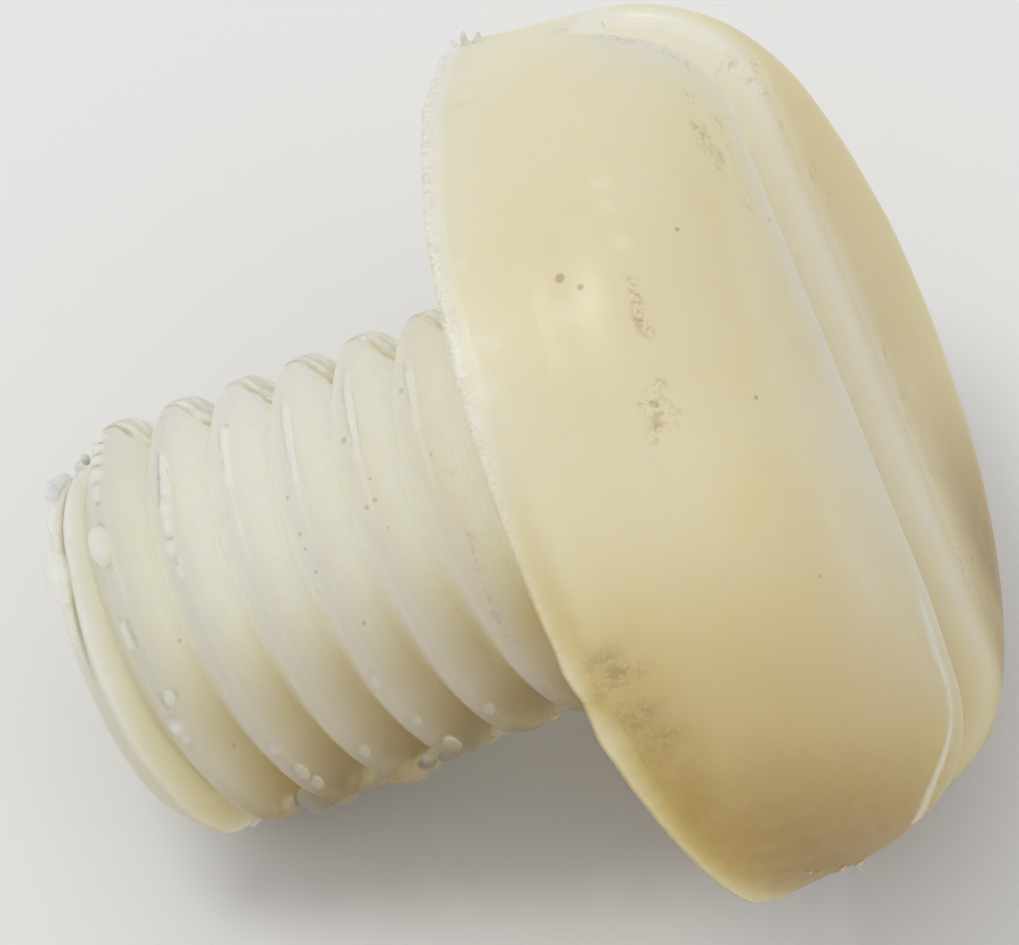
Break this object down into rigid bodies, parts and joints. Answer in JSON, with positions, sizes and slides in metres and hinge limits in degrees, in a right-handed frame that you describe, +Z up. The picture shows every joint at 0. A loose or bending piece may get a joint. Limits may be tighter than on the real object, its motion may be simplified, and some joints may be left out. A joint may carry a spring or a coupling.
{
  "type": "impeller screw",
  "caption": "Impeller screw: a slotted pan head machine screw moulded in natural nylon, with a coarse metric thread, lying on its side.",
  "frame": {"origin": "On the surface the screw lies on, under the middle of its overall box.", "axes": "+Z up. +X points from the tip to the head, level. The screw's axis lies in the XZ plane and rises 25.2 degrees from the tip to the head, as the screw comes to rest on the flash of its bearing rim and a thread crest."},
  "size_m": [0.0175, 0.0166, 0.0161],
  "materials": {
    "nylon": "natural ivory nylon, translucent, soft gloss, with mould flash, small beads and specks of dirt"
  },
  "bodies": {
    "root": {"screw": "nylon"}
  },
  "joints": []
}
